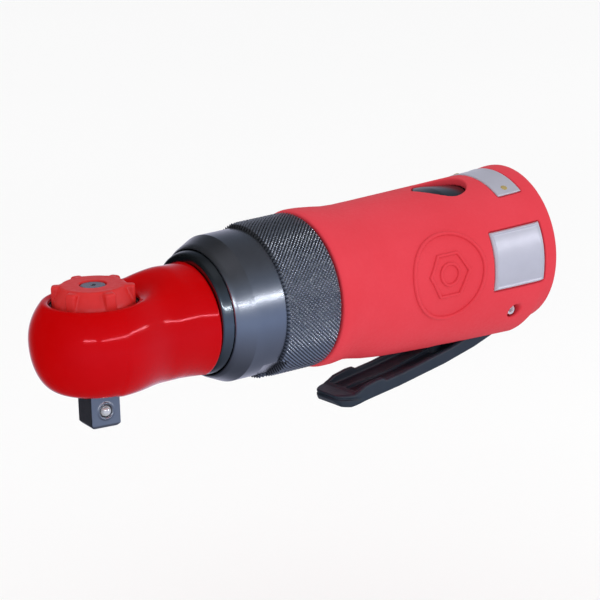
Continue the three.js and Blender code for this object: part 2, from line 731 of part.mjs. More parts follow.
function throttleLever() {
  const side = slab("y", [...LEVER_UNDERSIDE, ...leverEye(4.6), ...LEVER_TOP], -LEVER.half, LEVER.half);
  const plan = new THREE.Shape();
  plan.moveTo(LEVER.tipX, -3.5);
  plan.bezierCurveTo(LEVER.tipX + 0.3, -6.5, 87, -LEVER.half, 91, -LEVER.half);
  plan.lineTo(150, -LEVER.half);
  plan.lineTo(150, LEVER.half);
  plan.lineTo(91, LEVER.half);
  plan.bezierCurveTo(87, LEVER.half, LEVER.tipX + 0.3, 6.5, LEVER.tipX, 3.5);
  const outside = side.intersect(slab("z", plan, -45, 0));
  const inner = LEVER.half - LEVER.wall;
  const channel = slab("y", LEVER_CHANNEL, -inner, inner);
  const rib = slab("y", LEVER_RIB, -0.5, 0.5);
  const pad = rod("z", -30.8, -27.9, 2.4, 16, [VALVE_X, 0, 0]);
  const pinHole = rod("y", -12, 12, LEVER_PIN + 0.15, 24, [LEVER.pivotX, 0, LEVER.pivotZ]);
  return cut(join(cut(outside, channel), rib, pad), pinHole);
}

function leverPin() {
  const half = 18.4;
  return cut(
    rod("y", -half, half, LEVER_PIN, 24, [LEVER.pivotX, 0, LEVER.pivotZ]),
    rod("y", -half - 1, half + 1, 0.85, 12, [LEVER.pivotX, 0, LEVER.pivotZ]),
  );
}

// ---------------------------------------------------------------- throttle valve and inlet

const atValve = [VALVE_X, 0, 0];

function throttleStem() {
  return turned("z", [[-27.5, 0], [-27.5, 0.9], [-27, 1.5], [-10.3, 1.5], [-10.3, 0]], 16, atValve);
}

function throttleValve() {
  return turned("z", [
    [-9.9, 0], [-9.9, 1.5], [-8.7, 1.5], [-8.7, 3.8], [-7.2, 3.8], [-6.6, 3.2], [-6.6, 1.5],
    [-2, 1.5], [-2, 0],
  ], 20, atValve);
}

function valveBushing() {
  const wall = turned("z", [
    [-22, 1.8], [-22, 4.6], [-16.9, 4.6], [-16.9, 3.7], [-15.1, 3.7], [-15.1, 4.6], [-9, 4.6], [-9, 2.7],
    [-12.6, 2.7], [-12.6, 1.8], [-22, 1.8],
  ], 20, atValve);
  return cut(wall, rod("x", 120, VALVE_X, 1.2, 12, [0, 0, -11]));
}

function valveORing() {
  const torus = new THREE.TorusGeometry(4.3, 0.45, 6, 16);
  torus.translate(VALVE_X, 0, -16);
  return solid(torus);
}

function valveSpring() {
  const coil = coilSpring(2.9, 0.4, 13, 5);
  coil.translate(VALVE_X, 0, -5.2);
  return solid(coil);
}

function inletBushing() {
  const sleeve = rod("x", 143.8, 158.5, INLET_RADIUS, 20);
  const corners = Array.from({ length: 6 }, (_, i) => polar(9.6, (Math.PI * i) / 3));
  const hexagon = slab("x", corners, 158.1, 160.8);
  return cut(join(sleeve, hexagon), rod("x", 146, 163, INLET_BORE, 20), rod("x", 140, 147, 3.6, 16));
}

function inletScreen() {
  const disc = rod("x", 146.4, 147.4, INLET_BORE - GAP, 20);
  const holes = [rod("x", 145, 149, 0.7, 6)];
  for (let i = 0; i < 6; i += 1) {
    const [y, z] = polar(2.9, (Math.PI * i) / 3);
    holes.push(rod("x", 145, 149, 0.7, 6, [0, y, z]));
  }
  return cut(disc, ...holes);
}

const mufflerRing = () => ring("x", 149.8, 152.9, 11.4, 17, 20);

function exhaustDeflector() {
  const slots = [];
  for (let i = 0; i < 10; i += 1) {
    slots.push(block(152, 160, 12.2, 17.4, -1.3, 1.3).rotate(36 * i, 0, 0));
  }
  return cut(ring("x", 153.3, 157.2, INLET_RADIUS + 0.8, HOUSING.radius - 0.1, 28), ...slots);
}

// ---------------------------------------------------------------- assembly

// The drive and the knob that rides on it, both turned as they happen to stand.
function drivenGroup() {
  const anvil = new THREE.Group();
  anvil.add(
    piece("ratchet_anvil", "black_oxide", ratchetAnvil()),
    piece("pawl_pin", "hardened_steel", rod("z", -7, 6.4, 1.2, 14, [PAWL_PIVOT, 0, 0])),
    piece("pawl", "hardened_steel", pawl()),
    piece("detent_ball", "bright_steel", detentBall()),
    piece("detent_spring", "bright_steel", detentSpring()),
  );
  const knob = new THREE.Group();
  knob.rotation.z = radians(-KNOB_TURN / 2);
  knob.add(
    piece("reverse_knob", "red_knob", reverseKnob()),
    piece("knob_screw", "dark_steel", knobScrew()),
    piece("reverse_stem", "hardened_steel", reverseStem()),
    piece("pawl_plunger", "hardened_steel", pawlPlunger()),
    piece("plunger_spring", "bright_steel", plungerSpring()),
  );
  anvil.add(knob);
  anvil.rotation.z = radians(DRIVE_TWIST);
  return anvil;
}

function headGroup() {
  const head = new THREE.Group();
  head.add(
    piece("head_cover", "red_gloss", headCover()),
    piece("ratchet_housing", "dark_steel", ratchetHousing()),
    piece("ratchet_yoke", "hardened_steel", ratchetYoke()),
    piece("thrust_washer", "bright_steel", ring("z", 4.3, 5.2, 7.6, 12.6)),
    piece("housing_retaining_ring", "dark_steel", retainingRing()),
    drivenGroup(),
  );
  return head;
}

function gearGroup() {
  const gears = new THREE.Group();
  gears.add(
    piece("crankshaft", "hardened_steel", crankshaft()),
    piece("crank_bearing", "bright_steel", ring("x", 22.4, 37.4, 5.5, 8.3, 20)),
    piece("drive_bushing", "hardened_steel", driveBushing()),
    piece("ring_gear", "hardened_steel", ringGear()),
    piece("gear_washer", "bright_steel", ring("x", 53.5, 54.5, 4.6, 18.6)),
  );
  for (let i = 0; i < PLANETS; i += 1) {
    gears.add(piece("planet_gear_" + (i + 1), "hardened_steel", planetGear(i)));
    gears.add(piece("planet_pin_" + (i + 1), "bright_steel", planetPin(i)));
  }
  return gears;
}

function motorGroup() {
  const motor = new THREE.Group();
  motor.add(
    piece("front_end_plate", "cast_aluminium", frontEndPlate()),
    piece("front_bearing", "bright_steel", bearing(55.1, 59.6, 4.3, 8)),
    piece("rotor", "hardened_steel", rotor()),
    piece("motor_cylinder", "hardened_steel", motorCylinder()),
    piece("cylinder_pin", "bright_steel", cylinderPin()),
    piece("rear_end_plate", "cast_aluminium", rearEndPlate()),
    piece("rear_bearing", "bright_steel", bearing(92.7, 96.4, 3.3, 6.7)),
    piece("motor_housing", "dark_steel", motorHousing()),
    piece("clamp_collar", "dark_steel", clampCollar()),
  );
  for (let i = 0; i < VANES; i += 1) {
    motor.add(piece("rotor_vane_" + (i + 1), "vane_resin", rotorVane(i)));
  }
  return motor;
}

function handleGroup() {
  const handle = new THREE.Group();
  handle.add(
    piece("grip_sleeve", "red_rubber", gripSleeve()),
    piece("side_plate", "plate_metal", sidePlate()),
    piece("name_plate", "plate_metal", namePlate()),
    piece("throttle_lever", "slate_plastic", throttleLever()),
    piece("lever_pin", "bright_steel", leverPin()),
    piece("throttle_stem", "bright_steel", throttleStem()),
    piece("throttle_valve", "brass", throttleValve()),
    piece("valve_spring", "bright_steel", valveSpring()),
    piece("valve_bushing", "brass", valveBushing()),
    piece("valve_o_ring", "black_rubber", valveORing()),
    piece("inlet_bushing", "black_oxide", inletBushing()),
    piece("inlet_screen", "bright_steel", inletScreen()),
    piece("muffler_ring", "felt", mufflerRing()),
    piece("exhaust_deflector", "black_plastic", exhaustDeflector()),
  );
  RIVET_ANGLES.forEach((angle, i) => {
    handle.add(piece("name_plate_rivet_" + (i + 1), "brass", rivet(angle)));
  });
  return handle;
}

const airRatchet = new THREE.Group();
airRatchet.add(headGroup(), gearGroup(), motorGroup(), handleGroup());
airRatchet.position.z = DRIVE_REACH;

export default airRatchet;
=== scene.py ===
"""Looks for the pneumatic ratchet wrench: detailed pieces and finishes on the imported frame."""

import itertools
import json
import math

import bpy
import numpy as np
from mathutils import Matrix, Vector


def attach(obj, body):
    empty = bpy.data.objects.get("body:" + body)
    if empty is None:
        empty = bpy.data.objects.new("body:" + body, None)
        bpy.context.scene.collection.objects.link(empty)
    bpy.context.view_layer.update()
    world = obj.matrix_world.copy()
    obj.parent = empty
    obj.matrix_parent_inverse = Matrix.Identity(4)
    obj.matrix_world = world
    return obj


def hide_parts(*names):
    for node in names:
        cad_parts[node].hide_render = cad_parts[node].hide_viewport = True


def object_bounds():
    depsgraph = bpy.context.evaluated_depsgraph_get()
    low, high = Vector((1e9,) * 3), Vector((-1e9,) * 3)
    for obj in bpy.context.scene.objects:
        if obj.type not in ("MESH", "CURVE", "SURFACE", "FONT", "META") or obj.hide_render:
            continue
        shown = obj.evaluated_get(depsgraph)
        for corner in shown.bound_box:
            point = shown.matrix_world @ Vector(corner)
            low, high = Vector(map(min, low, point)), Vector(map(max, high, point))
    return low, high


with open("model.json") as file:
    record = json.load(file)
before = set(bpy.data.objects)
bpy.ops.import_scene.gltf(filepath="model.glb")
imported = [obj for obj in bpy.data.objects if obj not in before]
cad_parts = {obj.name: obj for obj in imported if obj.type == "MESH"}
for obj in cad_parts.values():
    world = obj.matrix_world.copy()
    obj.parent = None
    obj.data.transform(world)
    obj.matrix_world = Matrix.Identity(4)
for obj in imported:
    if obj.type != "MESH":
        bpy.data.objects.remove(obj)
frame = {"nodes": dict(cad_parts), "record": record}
cad_low, cad_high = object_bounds()

# ------------------------------------------------- sizes, in millimetres about the handle's axis

LIFT = 27.35  # handle axis above the drive square's end face
DRIVE_TWIST = math.radians(-8.1)
KNOB_TWIST = math.radians(-30.6)
EAR_TWIST = math.radians(-37.75)
HEAD_RADIUS, HEAD_WAIST, DOME_HEIGHT = 20.0, -0.3, 18.4
BELLY_FLAT, BELLY_DEPTH = 11.7, 15.2  # radius of the flat bottom, and its depth below the waist
PAD_Z, PAD_RADIUS, PAD_SWEEP = 11.3, 13.9, 10.1  # the flat round the knob, and the sweep up to the neck
KNOB_WELL, KNOB_WELL_FLOOR = 13.45, 8.2
DRIVE_HOLE = 8.9
NECK_RADIUS, NECK_END, NECK_DROP = 17.2, 33.4, 0.9
COVER_WALL = 1.5
GRIP_FRONT, GRIP_REAR, GRIP_BORE = 74.0, 157.7, 20.9
# Along the handle: x, then how far the grip reaches above, beside and below the axis.
GRIP_SECTIONS = np.array([
    [74, 24.0, 24.0, 24.0], [75, 24.6, 24.6, 24.7], [79, 24.4, 24.5, 24.8],
    [84, 23.8, 24.0, 24.2], [88, 23.2, 23.7, 24.7], [93, 22.9, 23.7, 25.7],
    [100, 22.9, 24.1, 26.5], [110, 23.0, 24.5, 27.1], [125, 23.2, 24.8, 27.9],
    [140, 23.4, 25.0, 28.5], [149.5, 23.6, 25.0, 28.8], [151, 23.8, 25.0, 28.4],
    [152.5, 24.0, 25.0, 27.2], [153.8, 24.1, 25.0, 25.9], [155.3, 24.4, 24.8, 25.5],
    [156.9, 24.3, 24.5, 25.2], [157.7, 23.9, 24.0, 24.8],
])
PORT_FRONT, PORT_ROUND, PORT_MIDDLE, PORT_HALF = 118.6, 129.2, -0.5, 8.9
PIN_X, PIN_Z = 143.0, -16.5
LEVER_HALF, LEVER_WALL, LEVER_TIP = 8.7, 1.6, 83.4
BALL_Y, BALL_Z, BALL_RADIUS = -4.1, -22.0, 1.75

# --------------------------------------------------------------------- solids as distance fields


def smooth_min(a, b, k):
    h = np.clip(0.5 + 0.5 * (b - a) / k, 0, 1)
    return b + (a - b) * h - k * h * (1 - h)


def smooth_max(a, b, k):
    return -smooth_min(-a, -b, k)


def carve(body, tool, k=0.4):
    """The body less the tool, with the edge eased by about k."""
    return smooth_max(body, -tool, k)


def ellipse_distance(u, v, a, b):
    """Roughly how far (u, v) lies outside the ellipse with half axes a and b."""
    q = np.hypot(u / a, v / b)
    slope = np.hypot(u / a**2, v / b**2) / np.maximum(q, 1e-6)
    return (q - 1) / np.maximum(slope, 1 / (2 * np.maximum(a, b)))


def hexagon_reach(u, v, start):
    """How far (u, v) reaches across the flats of a hexagon turned by start degrees."""
    turns = np.radians([start, start + 60, start + 120])
    return np.max([np.abs(u * math.cos(a) + v * math.sin(a)) for a in turns], 0)


def polygon_distance(x, z, corners):
    """Signed distance to a closed outline in the XZ plane, negative inside."""
    best = np.full(x.shape, 1e9)
    inside = np.zeros(x.shape, bool)
    for (ax, az), (bx, bz) in zip(corners, np.roll(corners, -1, axis=0)):
        ex, ez = bx - ax, bz - az
        t = np.clip(((x - ax) * ex + (z - az) * ez) / (ex * ex + ez * ez), 0, 1)
        best = np.minimum(best, np.hypot(x - ax - t * ex, z - az - t * ez))
        crosses = (az > z) != (bz > z)
        at = ax + (z - az) * ex / (ez if ez else 1e-9)
        inside ^= crosses & (x < at)
    return np.where(inside, -best, best)


def surface(field, low, high, step):
    """Quads over field = 0, with each corner pulled onto the surface."""
    axes = [np.arange(a, b + step, step) for a, b in zip(low, high)]
    grid = np.meshgrid(*axes, indexing="ij")
    value = field(*grid)
    inside = value < 0
    cells = np.array(value.shape) - 1
    some, every = np.zeros(cells, bool), np.ones(cells, bool)
    for i, j, k in itertools.product((0, 1), repeat=3):
        corner = inside[i : i + cells[0], j : j + cells[1], k : k + cells[2]]
        some |= corner
        every &= corner
    place = np.argwhere(some & ~every)
    index = np.full(cells, -1)
    index[tuple(place.T)] = np.arange(len(place))
    total, count = np.zeros((len(place), 3)), np.zeros(len(place))
    for axis in range(3):
        others = [o for o in range(3) if o != axis]
        for offset in itertools.product((0, 1), repeat=2):
            start = np.zeros(3, int)
            start[others] = offset
            end = start.copy()
            end[axis] = 1
            a = value[tuple((place + start).T)]
            b = value[tuple((place + end).T)]
            cross = (a < 0) != (b < 0)
            share = np.where(cross, a / np.where(cross, a - b, 1), 0)
            point = start + np.outer(share, end - start)
            total[cross] += point[cross]
            count[cross] += 1
    points = (total / count[:, None] + place) * step + np.array([a[0] for a in axes])
    nudge = step * 0.1
    for _ in range(3):
        here = field(*points.T)
        slope = np.stack([
            (field(*(points + nudge * e).T) - field(*(points - nudge * e).T)) / (2 * nudge)
            for e in np.eye(3)
        ], 1)
        size = np.maximum((slope**2).sum(1), 0.05)
        move = -slope * (here / size)[:, None]
        length = np.linalg.norm(move, axis=1, keepdims=True)
        points += move * np.minimum(1, 0.35 * step / np.maximum(length, 1e-9))
    quads = []
    for axis in range(3):
        one, two = [o for o in range(3) if o != axis]
        near = np.take(inside, range(inside.shape[axis] - 1), axis)
        far = np.take(inside, range(1, inside.shape[axis]), axis)
        edges = np.argwhere(near != far)
        edges = edges[(edges[:, one] > 0) & (edges[:, two] > 0)]
        edges = edges[(edges[:, one] < cells[one]) & (edges[:, two] < cells[two])]
        leaves = near[tuple(edges.T)]
        if axis == 1:
            leaves = ~leaves
        ring = []
        for back_one, back_two in ((1, 1), (0, 1), (0, 0), (1, 0)):
            cell = edges.copy()
            cell[:, one] -= back_one
            cell[:, two] -= back_two
            ring.append(index[tuple(cell.T)])
        quad = np.stack(ring, 1)
        quad[~leaves] = quad[~leaves][:, ::-1]
        quads.append(quad)
    return points, np.concatenate(quads)


# ---------------------------------------------------------------------------------------- meshes


def mesh_piece(name, points, faces, body, slot, replaced=(), sharp=50, finish=None):
    """A smooth-shaded mesh that rides on a body. Points are millimetres about the handle's axis."""
    mesh = bpy.data.meshes.new(name)
    places = (np.asarray(points, float) + [0, 0, LIFT]) / 1000
    mesh.from_pydata(places.tolist(), [], np.asarray(faces).tolist() if len(faces) else [])
    mesh.validate()
    mesh.polygons.foreach_set("use_smooth", np.ones(len(mesh.polygons), bool))
    if sharp:
        mesh.set_sharp_from_angle(angle=math.radians(sharp))
    mesh.materials.append(FINISHES[finish or slot])
    piece = bpy.data.objects.new(name, mesh)
    bpy.context.scene.collection.objects.link(piece)
    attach(piece, body)
    if replaced:
        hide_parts(*replaced)
    return piece


def sheet_faces(rows, columns, closed_rows=False, closed_columns=False):
    """Faces over a grid of points held row by row."""
    row_count = rows if closed_rows else rows - 1
    column_count = columns if closed_columns else columns - 1
    i, j = np.meshgrid(np.arange(row_count), np.arange(column_count), indexing="ij")
    i, j = i.ravel(), j.ravel()
    up, right = (i + 1) % rows, (j + 1) % columns
    return np.stack([i * columns + j, i * columns + right, up * columns + right, up * columns + j], 1)


def turned(name, profile, body, slot, axis="x", sides=128, move=(0, 0, 0), replaced=(), shape=None,
           sharp=35, finish=None):
    """A closed profile of (along, radius) points swept round an axis. shape may change the radius."""
    profile = np.array(profile, float)
    angle = np.linspace(0, 2 * math.pi, sides, endpoint=False)
    along = np.repeat(profile[:, 0], sides)
    radius = np.repeat(profile[:, 1], sides)
    turn = np.tile(angle, len(profile))
    if shape is not None:
        radius = shape(along, radius, turn)
    one, two = radius * np.cos(turn), radius * np.sin(turn)
    order = {"x": (along, one, two), "y": (two, along, one), "z": (one, two, along)}[axis]
    points = np.stack(order, 1) + np.array(move)
    faces = sheet_faces(len(profile), sides, closed_rows=True, closed_columns=True)
    return mesh_piece(name, points, faces[:, ::-1], body, slot, replaced, sharp, finish)


def filled(name, field, low, high, step, body, slot, replaced=(), turn=0.0):
    """A piece from a distance field, turned about Z by `turn` once it is made."""
    points, faces = surface(field, low, high, step)
    if turn:
        points = points @ np.array(Matrix.Rotation(turn, 3, "Z")).T
    return mesh_piece(name, points, faces, body, slot, replaced, sharp=None)


def bead(name, path, radius, body, slot, sides=10):
    """A rounded line moulded on a surface, along a closed path of points."""
    path = np.asarray(path, float)
    ahead = np.roll(path, -1, 0) - np.roll(path, 1, 0)
    ahead /= np.linalg.norm(ahead, axis=1, keepdims=True)
    out = np.stack([np.zeros(len(path)), path[:, 1], path[:, 2]], 1)
    out -= ahead * (out * ahead).sum(1, keepdims=True)
    out /= np.linalg.norm(out, axis=1, keepdims=True)
    across = np.cross(ahead, out)
    rings = []
    for i in range(sides):
        angle = 2 * math.pi * i / sides
        rings.append(path + radius * (math.cos(angle) * across + math.sin(angle) * out))
    points = np.stack(rings, 1).reshape(-1, 3)
    faces = sheet_faces(len(path), sides, closed_rows=True, closed_columns=True)
    return mesh_piece(name, points, faces, body, slot, sharp=60)


# -------------------------------------------------------------------------------------- finishes


class Tree:
    """A short way to write a material's nodes."""

    def __init__(self, name):
        self.material = bpy.data.materials.new(name)
        self.material.use_nodes = True
        self.tree = self.material.node_tree
        self.shader = self.tree.nodes["Principled BSDF"]

    def node(self, kind, inputs=None, **settings):
        made = self.tree.nodes.new("ShaderNode" + kind)
        for key, value in settings.items():
            setattr(made, key, value)
        for key, value in (inputs or {}).items():
            socket = made.inputs[key]
            if isinstance(value, bpy.types.NodeSocket):
                self.tree.links.new(value, socket)
            else:
                socket.default_value = value
        return made

    def set(self, **values):
        for key, value in values.items():
            socket = self.shader.inputs[key.replace("_", " ")]
            if isinstance(value, bpy.types.NodeSocket):
                self.tree.links.new(value, socket)
            else:
                socket.default_value = value

    def place(self, stretch=(1, 1, 1)):
        """Object coordinates, in metres times the stretch."""
        where = self.node("TexCoord").outputs["Object"]
        return self.node("Mapping", {"Vector": where, "Scale": stretch}).outputs["Vector"]

    def noise(self, scale, detail=3.0, stretch=(1, 1, 1), rough=0.5):
        inputs = {"Vector": self.place(stretch), "Scale": scale, "Detail": detail, "Roughness": rough}
        return self.node("TexNoise", inputs).outputs["Fac"]

    def span(self, factor, low, high, start=0.3, end=0.7):
        inputs = {"Value": factor, "From Min": start, "From Max": end, "To Min": low, "To Max": high}
        return self.node("MapRange", inputs).outputs["Result"]

    def shades(self, factor, one, two, start=0.3, end=0.7):
        mix = self.node("Mix", data_type="RGBA")
        self.tree.links.new(self.span(factor, 0, 1, start, end), mix.inputs["Factor"])
        mix.inputs["A"].default_value = (*one, 1)
        mix.inputs["B"].default_value = (*two, 1)
        return mix.outputs["Result"]

    def bumps(self, *layers):
        """Bump layers of (height socket, depth in metres)."""
        normal = None
        for height, depth in layers:
            inputs = {"Height": height, "Distance": depth, "Strength": 1.0}
            if normal is not None:
                inputs["Normal"] = normal
            normal = self.node("Bump", inputs).outputs["Normal"]
        return normal


def linear(red, green, blue):
    """An 8 bit screen colour as linear light."""
    shares = (red / 255, green / 255, blue / 255)
    return tuple(c / 12.92 if c < 0.04045 else ((c + 0.055) / 1.055) ** 2.4 for c in shares)


def gloss_enamel():
    t = Tree("red_gloss_enamel")
    t.set(Base_Color=t.shades(t.noise(60), linear(180, 1, 2), linear(185, 2, 4)))
    t.set(Roughness=t.span(t.noise(300), 0.08, 0.12), Specular_Tint=(1, 0.3, 0.4, 1))
    t.set(Normal=t.bumps((t.noise(260, 1), 0.00002)))
    return t.material


def moulded_rubber():
    t = Tree("red_moulded_rubber")
    t.set(Base_Color=t.shades(t.noise(45), linear(213, 56, 68), linear(217, 62, 75)))
    t.set(Roughness=t.span(t.noise(900), 0.6, 0.75))
    t.set(Specular_IOR_Level=0.25, Specular_Tint=(1, 0.6, 0.65, 1))
    t.set(Normal=t.bumps((t.noise(2600, 2), 0.00005), (t.noise(250, 2), 0.00003)))
    return t.material


def moulded_knob():
    t = Tree("red_moulded_knob")
    t.set(Base_Color=t.shades(t.noise(150), linear(200, 34, 32), linear(207, 40, 38)))
    t.set(Roughness=t.span(t.noise(700), 0.3, 0.42))
    t.set(Specular_IOR_Level=0.5, Specular_Tint=(1, 0.6, 0.7, 1))
    t.set(Normal=t.bumps((t.noise(1800, 2), 0.00002)))
    return t.material


def metal(name, one, two, rough, shine=1.0, tool_marks=0.0, stretch=(1, 1, 1), grain=0.000004):
    """A metal whose finish wanders a little. shine is how much of it mirrors rather than scatters.

    tool_marks and grain are depths in metres; stretch draws the tool marks out along an axis.
    """
    t = Tree(name)
    cloud = t.noise(90, 4)
    t.set(Base_Color=t.shades(cloud, linear(*one), linear(*two)), Metallic=shine)
    t.set(Roughness=t.span(t.noise(420, 4), rough * 0.93, rough * 1.08))
    layers = [(t.noise(3200, 2), grain)]
    if tool_marks:
        layers.append((t.noise(2500, 2, stretch), tool_marks))
    t.set(Normal=t.bumps(*layers))
    return t.material


def plastic(name, one, two, rough):
    """A moulded plastic or resin with a fine matt grain."""
    t = Tree(name)
    t.set(Base_Color=t.shades(t.noise(120), linear(*one), linear(*two)))
    t.set(Roughness=t.span(t.noise(800), rough * 0.9, rough * 1.15))
    t.set(Normal=t.bumps((t.noise(2200, 2), 0.00003)))
    return t.material


def pressed_felt():
    t = Tree("pressed_felt")
    t.set(Base_Color=t.shades(t.noise(900, 5), linear(120, 122, 116), linear(158, 160, 152)))
    t.set(Roughness=0.95)
    t.set(Normal=t.bumps((t.noise(3500, 5), 0.0002)))
    return t.material


KNURL_START, COLLAR_END = 53.6, 73.7
KNURLS, KNURL_PITCH, KNURL_DEPTH = 116, 1.3, 0.62
COLLAR_RADIUS, CREST_RADIUS, COLLAR_BORE = 22.6, 24.05, 20.9


def knurled_steel():
    """Plated steel with painted shade: bright on the diamonds and painted dark in the cuts between them."""
    t = Tree("knurled_dark_steel")
    place = t.node("TexCoord").outputs["Object"]
    on_axis = t.node("Mapping", {"Vector": place, "Location": (0, 0, -LIFT / 1000)}).outputs["Vector"]
    parts = t.node("SeparateXYZ", {0: on_axis}).outputs

    def result(operation, a, b):
        return t.node("Math", {0: a, 1: b}, operation=operation).outputs[0]

    turn = result("ARCTAN2", parts["Z"], parts["Y"])
    around = result("MULTIPLY", turn, KNURLS / (2 * math.pi))
    row = result("MULTIPLY", parts["X"], 1000 / KNURL_PITCH)
    left, right = result("ADD", around, row), result("SUBTRACT", around, row)
    height = result("MINIMUM", result("PINGPONG", left, 0.5), result("PINGPONG", right, 0.5))
    # Painted shade: the colour runs from dark in the cuts up to bright on the diamonds' crests.
    t.set(Base_Color=t.shades(height, linear(78, 82, 92), linear(204, 207, 215), 0.02, 0.3))
    t.set(Metallic=1.0)
    t.set(Roughness=t.span(t.noise(420, 4), 0.24, 0.3))
    return t.material


AROUND = (1, 0.02, 0.02)  # marks that run round the handle's axis
FINISHES = {
    "red_gloss": gloss_enamel(),
    "red_rubber": moulded_rubber(),
    "red_knob": moulded_knob(),
    "dark_steel": metal(
        "dark_plated_steel", (170, 174, 184), (178, 182, 191), 0.25, 1.0, 0.0000006, AROUND, 0.000001),
    "polished_ring": metal(
        "polished_dark_steel", (126, 134, 140), (132, 140, 146), 0.17, 1.0, 0.0000005, AROUND, 0.000001),
    "knurled_steel": knurled_steel(),
    # Painted shade: a darker copy of the plated steel, for the housing's metal down in the port.
    "port_steel": metal(
        "port_steel", (92, 101, 107), (98, 107, 113), 0.3, 1.0, 0.000001, AROUND, 0.000001),
    "black_oxide": metal("black_oxide_steel", (160, 164, 174), (170, 174, 182), 0.34, grain=0.000003),
    "bright_steel": metal("bright_steel", (232, 234, 238), (240, 242, 246), 0.12, 0.55),
    "hardened_steel": metal("ground_steel", (150, 154, 160), (170, 174, 180), 0.3, 0.7, 0.000004),
    "cast_aluminium": metal(
        "cast_aluminium", (170, 174, 180), (190, 194, 200), 0.42, 0.7, grain=0.00002),
    "slate_plastic": plastic("slate_composite", (34, 44, 57), (40, 50, 64), 0.4),
    "black_plastic": plastic("black_composite", (22, 23, 26), (29, 30, 33), 0.55),
    "plate_metal": metal(
        "plate_aluminium", (190, 190, 204), (198, 198, 212), 0.34, 0.3, 0.000004, (0.02, 1, 1)),
    "brass": metal("turned_brass", (222, 196, 128), (232, 208, 144), 0.2, 0.55),
    "vane_resin": plastic("vane_resin", (140, 108, 72), (158, 122, 84), 0.7),
    "black_rubber": plastic("seal_rubber", (18, 18, 19), (26, 26, 27), 0.8),
    "felt": pressed_felt(),
}
for subpart in frame["record"]["subparts"]:
    node = frame["nodes"][subpart["node"]]
    for material_slot in node.material_slots:
        material_slot.material = FINISHES[subpart["material_slot"]]

# ------------------------------------------------------------------------------------ head cover


def ball(x, y, z):
    """The head: an elliptic dome above its widest circle, and a rounded flat bottom below it."""
    out = np.hypot(x, y)
    dome = ellipse_distance(out, z - HEAD_WAIST, HEAD_RADIUS, DOME_HEIGHT)
    past_flat = np.maximum(out - BELLY_FLAT, 0)
    corner = ellipse_distance(past_flat, z - HEAD_WAIST, HEAD_RADIUS - BELLY_FLAT, BELLY_DEPTH)
    return np.where(z > HEAD_WAIST, dome, corner)


def head_outside(x, y, z):
    out = np.hypot(x, y)
    flared = NECK_RADIUS + 0.5 * np.clip((x - 27) / 6.4, 0, 1) ** 2
    drop = NECK_DROP + 0.6 * np.clip((x - 25) / 8, 0, 1)
    barrel = smooth_max(np.hypot(y, z + drop) - flared, 2 - x, 1.0)
    whole = smooth_min(ball(x, y, z), barrel, 5.0)
    past = np.maximum(out - PAD_RADIUS, 0) / PAD_SWEEP
    sweep = (z - PAD_Z - 9 * past**1.45) / np.sqrt(1 + (1.292 * past**0.45) ** 2)
    return smooth_max(whole, sweep, 1.2 + 4 * np.clip((x - 8) / 10, 0, 1))


def head_cover(x, y, z):
    out = np.hypot(x, y)
    whole = head_outside(x, y, z)
    knob_room = np.maximum(out - KNOB_WELL, KNOB_WELL_FLOOR - z)
    drive_hole = np.maximum(out - DRIVE_HOLE, z + 11)
    shell = carve(carve(whole, knob_room, 0.9), drive_hole, 0.5)
    hollow = whole + COVER_WALL
    return smooth_max(np.maximum(shell, -hollow), x - NECK_END, 0.3)


filled("head_shell", head_cover, (-21, -21, -17), (34.4, 21, 18.6), 0.36,
       "housing", "red_gloss", ["head_cover"])

# -------------------------------------------------------------------------------- reversing knob

CROWN_RADIUS, CROWN_TOP, CROWN_SHOULDER = 12.1, 16.05, 11
EAR_HALF, EAR_REACH, EAR_TOP = 1.75, 12.45, 15.85


def knob(x, y, z):
    """A low crown with sloping flanks and six upright finger grips round its rim."""
    out = np.hypot(x, y)
    flank = ((out - CROWN_RADIUS) * 5.05 + (z - CROWN_SHOULDER) * 2.4) / 5.6
    crown = smooth_max(smooth_max(flank, out - CROWN_RADIUS, 0.5), z - CROWN_TOP, 0.5)
    turn = (np.arctan2(y, x) + math.pi / 6) % (math.pi / 3) - math.pi / 6
    across = np.abs(out * np.sin(turn)) - EAR_HALF
    ear = smooth_max(smooth_max(across, out - EAR_REACH, 0.9), z - EAR_TOP, 0.9)
    whole = smooth_max(smooth_min(crown, np.maximum(ear, 8.5 - out), 0.5), 7.1 - z, 0.3)
    screw_room = np.maximum(out - 4.15, 14.4 - z)
    return carve(carve(whole, screw_room, 0.3), np.maximum(out - 1.9, 9 - z), 0.1)


filled("knob_grip", knob, (-12.9, -12.9, 6.6), (12.9, 12.9, 16.6), 0.22,
       "knob", "red_knob", ["reverse_knob"], EAR_TWIST)


def screw_head(x, y, z):
    """The screw through the knob, with a hexagon socket."""
    out = np.hypot(x, y)
    disc = smooth_max(np.maximum(out - 3.83, 14.6 - z), z - 15.75, 0.35)
    hexagon = hexagon_reach(x, y, 0)
    shank = np.maximum(out - 1.4, np.maximum(3.4 - z, z - 14.8))
    return carve(np.minimum(disc, shank), np.maximum(hexagon - 0.75, 14.9 - z), 0.15)


filled("knob_screw_head", screw_head, (-4.2, -4.2, 3), (4.2, 4.2, 16.2), 0.16,
       "knob", "dark_steel", ["knob_screw"], KNOB_TWIST)

# ---------------------------------------------------------------------------------- drive square


SQUARE_HALF = 4.765  # half of 3/8 inch


